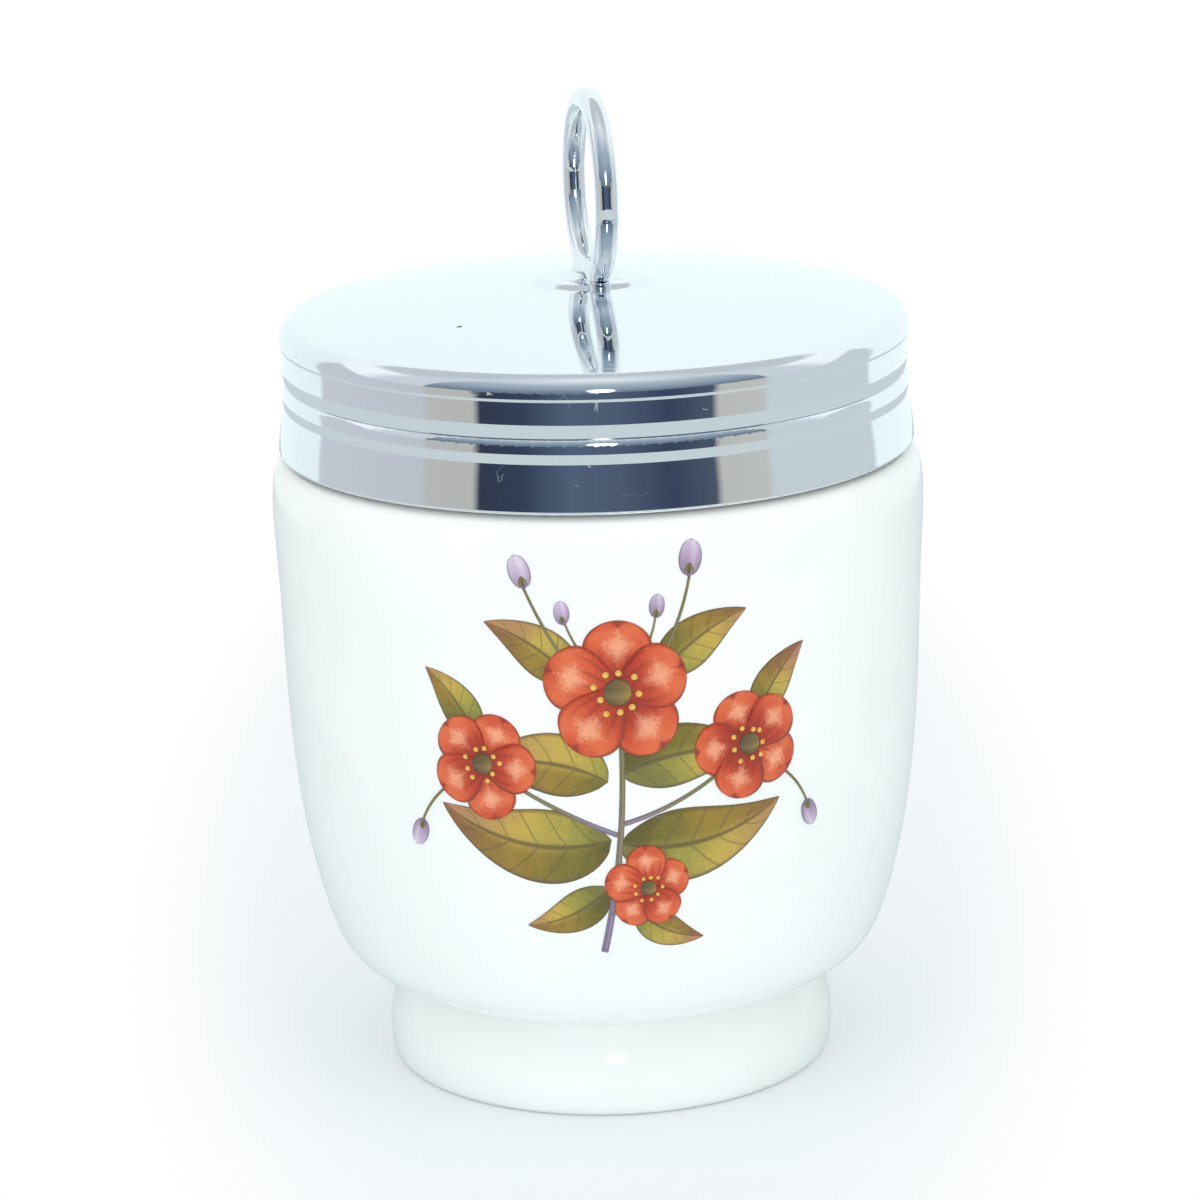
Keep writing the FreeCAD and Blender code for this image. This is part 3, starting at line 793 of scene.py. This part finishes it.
def buildWorld():
    world = bpy.data.worlds.new("studioRoom")
    scene.world = world
    world.use_nodes = True
    tree = world.node_tree
    tree.nodes.clear()
    heading = addNode(tree, "ShaderNodeTexCoord").outputs["Generated"]
    axes = addNode(tree, "ShaderNodeSeparateXYZ", links={0: heading}).outputs
    turn = calc(tree, "ARCTAN2", axes[0], calc(tree, "MULTIPLY", axes[1], -1.0))  # 0 at the front
    share = calc(tree, "MULTIPLY_ADD", turn, 1 / (2 * math.pi), 0.5)

    def stop(degrees):  # place on the ramp of a direction, counted from the front
        return 0.5 + degrees / 360

    dark, pale, wall = studio["darkHalf"], studio["paleHalf"], studio["wallHalf"]
    edge = studio["edge"]
    sides = fillRamp(addNode(tree, "ShaderNodeValToRGB", links={0: share}), [
        (0.0, "#f4ffff"),
        (stop(-wall - edge), "#eaf4f7"),
        (stop(-wall + edge), "#c8ccd3"),
        (stop(-pale - edge), "#c1c5cc"),
        (stop(-pale + edge), "#bcbcb8"),
        (stop(-dark - edge), "#babab5"),
        (stop(-dark + edge), "#343b4e"),
        (stop(-26), "#364257"),
        (stop(-9), "#516378"),
        (stop(8), "#4e5c71"),
        (stop(26), "#3a445d"),
        (stop(dark - edge), "#4d5869"),
        (stop(dark + edge), "#bfbfba"),
        (stop(pale - edge), "#c2c3bf"),
        (stop(pale + edge), "#c8d2d6"),
        (stop(wall - edge), "#c9d3d6"),
        (stop(wall + edge), "#f0fbff"),
        (1.0, "#f4ffff"),
    ])
    overhead = fillRamp(addNode(tree, "ShaderNodeValToRGB", links={0: axes[2]}), [
        (0.0, "#4a586e"), (0.17, "#68798c"), (0.5, "#90a1b0"), (0.8, "#adbbc4"),
        (0.97, "#dae2ea"), (1.0, "#eef6fa"),
    ])
    spread = calc(tree, "ABSOLUTE", turn)
    aside = between(tree, spread, math.radians(pale - edge), math.radians(pale + edge))
    ceiling = mixColour(tree, "MIX", aside, overhead.outputs[0], "#cdd5db")
    rear = fillRamp(addNode(tree, "ShaderNodeValToRGB", links={0: axes[2]}), [
        (0.0, "#f4fcff"), (0.7, "#f4fcff"), (0.75, "#c6ccd1"), (0.94, "#c0c6cc"), (1.0, "#d6dee4"),
    ])
    rearShare = between(tree, axes[1], -studio["rearBlend"], studio["rearBlend"])
    ceiling = mixColour(tree, "MIX", rearShare, ceiling, rear.outputs[0])
    rearward = calc(tree, "MAXIMUM", axes[1], 0.0)
    lift = calc(tree, "MULTIPLY_ADD", rearward, -studio["backdropSlope"], axes[2])
    room = mixColour(tree, "MIX", between(tree, lift, *studio["wallTop"]), sides.outputs[0], ceiling)
    height = calc(tree, "ARCSINE", axes[2])
    (aimAside, aimUp), (wide, tall) = studio["glintAim"], studio["glintSize"]
    u = calc(tree, "MULTIPLY_ADD", turn, 180 / math.pi / wide, -aimAside / wide)
    v = calc(tree, "MULTIPLY_ADD", height, 180 / math.pi / tall, -aimUp / tall)
    away = calc(tree, "SQRT", calc(tree, "MULTIPLY_ADD", u, u, calc(tree, "MULTIPLY", v, v)))
    core = opposite(tree, between(tree, away, *studio["glintEdge"]))
    haze = opposite(tree, between(tree, away, *studio["glowEdge"]))
    glint = calc(tree, "MULTIPLY_ADD", core, studio["glint"], calc(tree, "MULTIPLY", haze, studio["glow"]))
    light = addNode(tree, "ShaderNodeCombineXYZ", links={0: glint, 1: glint, 2: glint})
    room = mixColour(tree, "ADD", 1.0, room, light.outputs[0])
    rays = addNode(tree, "ShaderNodeLightPath")
    even = [studio["surround"]] * 3 + [1.0]
    lit = mixColour(tree, "MIX", rays.outputs["Is Diffuse Ray"], room, even)
    final = mixColour(tree, "MIX", rays.outputs["Is Camera Ray"], lit, "#ffffff")
    ground = addNode(tree, "ShaderNodeBackground", {"Strength": studio["strength"]}, {"Color": final})
    addNode(tree, "ShaderNodeOutputWorld", links={"Surface": ground.outputs[0]})


def addLamp(name, place, target, width, power):  # lights matt surfaces; the world has its mirror image
    light = bpy.data.lights.new(name, "AREA")
    light.shape = "ELLIPSE"
    light.size = light.size_y = width
    light.energy = power
    lamp = bpy.data.objects.new(name, light)
    scene.collection.objects.link(lamp)
    lamp.location = place
    aim = Vector(target) - Vector(place)
    lamp.rotation_euler = aim.to_track_quat("-Z", "Y").to_euler()
    lamp.visible_camera = False
    lamp.visible_glossy = False


# The photograph's camera, fitted to the foot's and the lid's ellipses in the 1200 px frame
view = {
    "focalPixels": 4787.0,
    "framePixels": 1200.0,
    "distance": 486.8 * mm,
    "elevation": 15.2,       # degrees
    "roll": 1.5,
    "target": (-0.08 * mm, 0.0, 47.36 * mm),
    "sensorWidth": 36.0,     # millimetres, as Blender counts a lens
    "nearClip": 10 * mm,
}


def buildCamera():
    tilt = math.radians(view["elevation"])
    roll = math.radians(view["roll"])
    back = Vector((0, -math.cos(tilt), math.sin(tilt)))
    right = Vector((1, 0, 0))
    up = back.cross(right)
    rolledRight = right * math.cos(roll) - up * math.sin(roll)
    rolledUp = right * math.sin(roll) + up * math.cos(roll)
    lens = bpy.data.cameras.new("photoCamera")
    lens.sensor_width = view["sensorWidth"]
    lens.lens = view["sensorWidth"] * view["focalPixels"] / view["framePixels"]
    lens.clip_start = view["nearClip"]
    camera = bpy.data.objects.new("photoCamera", lens)
    scene.collection.objects.link(camera)
    turn = Matrix((rolledRight, rolledUp, back)).transposed().to_4x4()
    place = Vector(view["target"]) + back * view["distance"]
    camera.matrix_world = Matrix.Translation(place) @ turn
    scene.camera = camera
    return place


lamps = {
    "aimHeight": 0.05,
    "flashAside": 0.01,      # the flash fires low, from just beside the camera
    "flashWidth": 0.05,
    "flashPower": 0.4,
    "softboxPlace": (0.0, -0.25, 0.9),
    "softboxWidth": 0.7,
    "softboxPower": 1.4,
}

buildTable()
buildWorld()
eye = buildCamera()
middle = (0, 0, lamps["aimHeight"])
flashPlace = (eye.x + lamps["flashAside"], eye.y, lamps["aimHeight"])
addLamp("flashLight", flashPlace, middle, lamps["flashWidth"], lamps["flashPower"])
addLamp("topSoftbox", lamps["softboxPlace"], middle, lamps["softboxWidth"], lamps["softboxPower"])
print("studio and camera placed")
